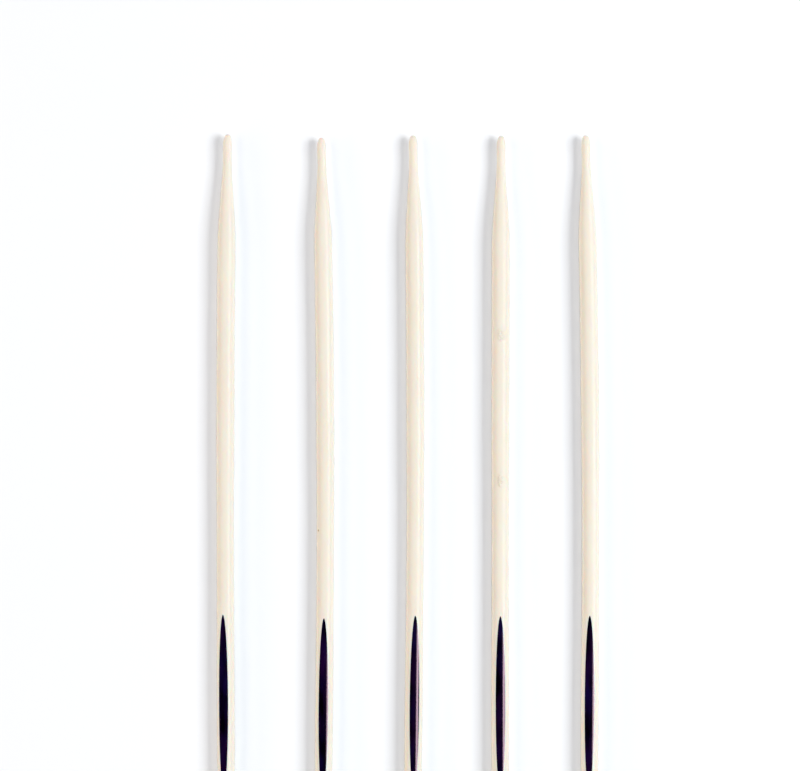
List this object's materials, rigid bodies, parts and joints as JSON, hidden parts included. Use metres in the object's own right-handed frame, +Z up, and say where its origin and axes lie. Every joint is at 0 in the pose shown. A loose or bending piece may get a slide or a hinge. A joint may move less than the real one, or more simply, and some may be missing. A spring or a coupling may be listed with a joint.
{
  "type": "double-pointed knitting needle set",
  "caption": "Slim double-pointed knitting needles with drop-shaped points, an ivory sleeve moulded over a dark violet core that shows at a lens-shaped window.",
  "frame": {"origin": "on the surface the needles lie on, under the centre of the row's bounding box", "axes": "+X across the row from the first needle to the last, +Y along the needles, +Z up"},
  "size_m": [0.0682, 0.2006, 0.0031],
  "materials": {
    "ivory_polymer": "silky moulded",
    "violet_polymer": "gloss moulded"
  },
  "bodies": {
    "needle_1": {"needle_1_sleeve": "ivory_polymer", "needle_1_core": "violet_polymer"},
    "needle_2": {"needle_2_sleeve": "ivory_polymer", "needle_2_core": "violet_polymer"},
    "needle_3": {"needle_3_sleeve": "ivory_polymer", "needle_3_core": "violet_polymer"},
    "needle_4": {"needle_4_sleeve": "ivory_polymer", "needle_4_core": "violet_polymer"},
    "needle_5": {"needle_5_sleeve": "ivory_polymer", "needle_5_core": "violet_polymer"}
  },
  "joints": [
    {"name": "needle_1_lift", "type": "slide", "parent": "needle_3", "child": "needle_1", "axis": [0, 0, 1], "range_m": [0, 0.06]},
    {"name": "needle_2_lift", "type": "slide", "parent": "needle_3", "child": "needle_2", "axis": [0, 0, 1], "range_m": [0, 0.06]},
    {"name": "needle_4_lift", "type": "slide", "parent": "needle_3", "child": "needle_4", "axis": [0, 0, 1], "range_m": [0, 0.06]},
    {"name": "needle_5_lift", "type": "slide", "parent": "needle_3", "child": "needle_5", "axis": [0, 0, 1], "range_m": [0, 0.06]}
  ]
}
